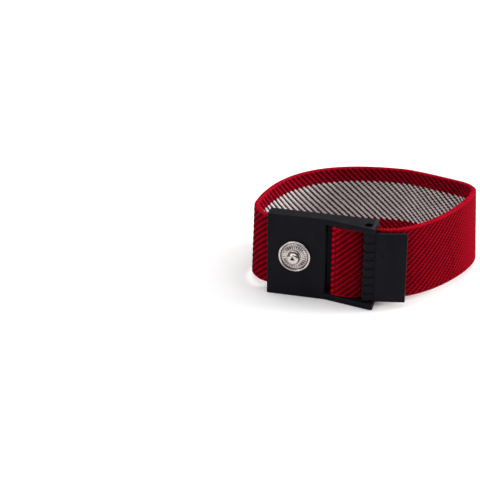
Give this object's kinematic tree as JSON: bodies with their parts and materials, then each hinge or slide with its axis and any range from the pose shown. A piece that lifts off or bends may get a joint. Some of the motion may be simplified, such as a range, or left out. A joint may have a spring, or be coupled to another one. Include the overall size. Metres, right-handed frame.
{
  "type": "anti-static wrist strap",
  "caption": "Adjustable anti-static wrist strap: elastic band loop closed by a plastic cam buckle with a snap stud and a finger lever.",
  "frame": {"origin": "on the underside of the buckle's lower rail, below the middle of the buckle's length", "axes": "+X along the buckle from its riveted end to its cam end, -Y outwards from the wrist through the buckle's front, +Z across the band"},
  "size_m": [0.0659, 0.0579, 0.0262],
  "materials": {
    "buckle": "matte",
    "lever": "matte",
    "nickel": "polished nickel plate",
    "stainless": "brushed",
    "band": "ribbed elastic weave",
    "thread": "sewing thread"
  },
  "bodies": {
    "strap": {"buckle_frame": "buckle", "snap_stud": "nickel", "snap_rivet": "nickel", "skin_plate": "stainless", "elastic_band": "band", "hem_thread": "thread"},
    "lever": {"cam_lever": "lever"}
  },
  "joints": [
    {"name": "lever_hinge", "type": "hinge", "parent": "strap", "child": "lever", "pos_m": [0.01415, -0.00285, 0.0131], "axis": [0, 0, -1], "range_deg": [0, 105]}
  ]
}
